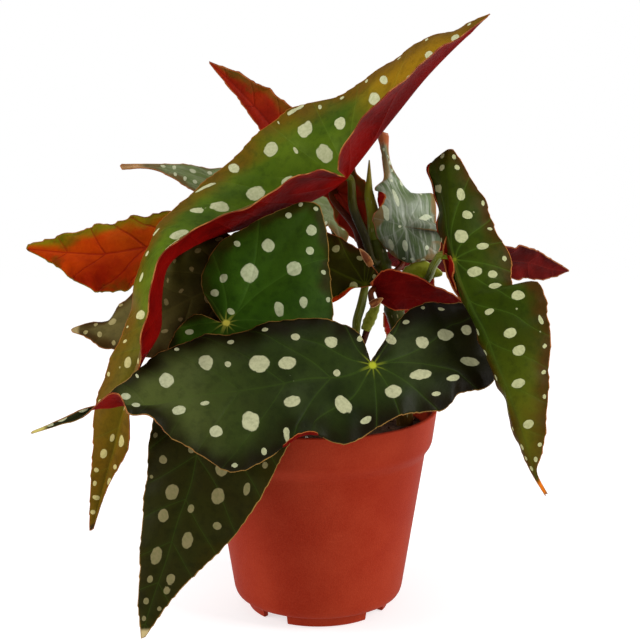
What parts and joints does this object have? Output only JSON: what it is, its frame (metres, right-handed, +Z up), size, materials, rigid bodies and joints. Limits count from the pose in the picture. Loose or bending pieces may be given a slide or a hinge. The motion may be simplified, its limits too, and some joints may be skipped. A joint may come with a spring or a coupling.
{
  "type": "potted polka dot begonia",
  "caption": "Potted house plant with arching wing-shaped leaves, pale spots above and red below, on jointed canes in a round tapered plastic nursery pot.",
  "frame": {"origin": "on the ground under the middle of the plant, which is the pot's axis", "axes": "+Z up along the pot's axis, -Y towards the plant's front, +X to the right seen from the front"},
  "size_m": [0.2794, 0.2178, 0.2983],
  "materials": {
    "terracotta_plastic": "matte",
    "peat": "matte",
    "cane_green": "satin",
    "stalk_green": "satin",
    "bract": "satin",
    "leaf_olive": "satin",
    "leaf_dark_green": "satin",
    "leaf_green": "satin",
    "leaf_grey_green": "satin",
    "leaf_dark_olive": "satin",
    "leaf_red": "satin",
    "leaf_maroon": "satin",
    "leaf_orange": "satin"
  },
  "bodies": {
    "root": {"nursery_pot": "terracotta_plastic", "potting_soil": "peat", "cane_main": "cane_green", "cane_front": "cane_green", "cane_back": "cane_green", "growing_tip": "stalk_green", "leaf_top_arching": "leaf_olive", "leaf_front_wide": "leaf_dark_green", "leaf_front_drooping": "leaf_green", "leaf_right_hanging": "leaf_green", "leaf_glossy_twisted": "leaf_grey_green", "leaf_red_centre": "leaf_red", "leaf_small_centre": "leaf_dark_olive", "leaf_red_upper_left": "leaf_red", "leaf_grey_back": "leaf_grey_green", "leaf_orange_left": "leaf_orange", "leaf_dark_left": "leaf_dark_olive", "leaf_maroon_right": "leaf_maroon", "leaf_back_left": "leaf_green", "leaf_back_right": "leaf_green", "petiole_top_arching": "stalk_green", "petiole_front_wide": "stalk_green", "petiole_front_drooping": "stalk_green", "petiole_right_hanging": "stalk_green", "petiole_glossy_twisted": "stalk_green", "petiole_red_centre": "stalk_green", "petiole_small_centre": "stalk_green", "petiole_red_upper_left": "stalk_green", "petiole_grey_back": "stalk_green", "petiole_orange_left": "stalk_green", "petiole_dark_left": "stalk_green", "petiole_maroon_right": "stalk_green", "petiole_back_left": "stalk_green", "petiole_back_right": "stalk_green", "stipule_right_hanging": "bract", "stipule_centre_spear": "bract", "stipule_centre_short": "bract", "stipule_main_orange": "bract", "stipule_back_upper": "bract", "stipule_back_lower": "bract"}
  },
  "joints": []
}
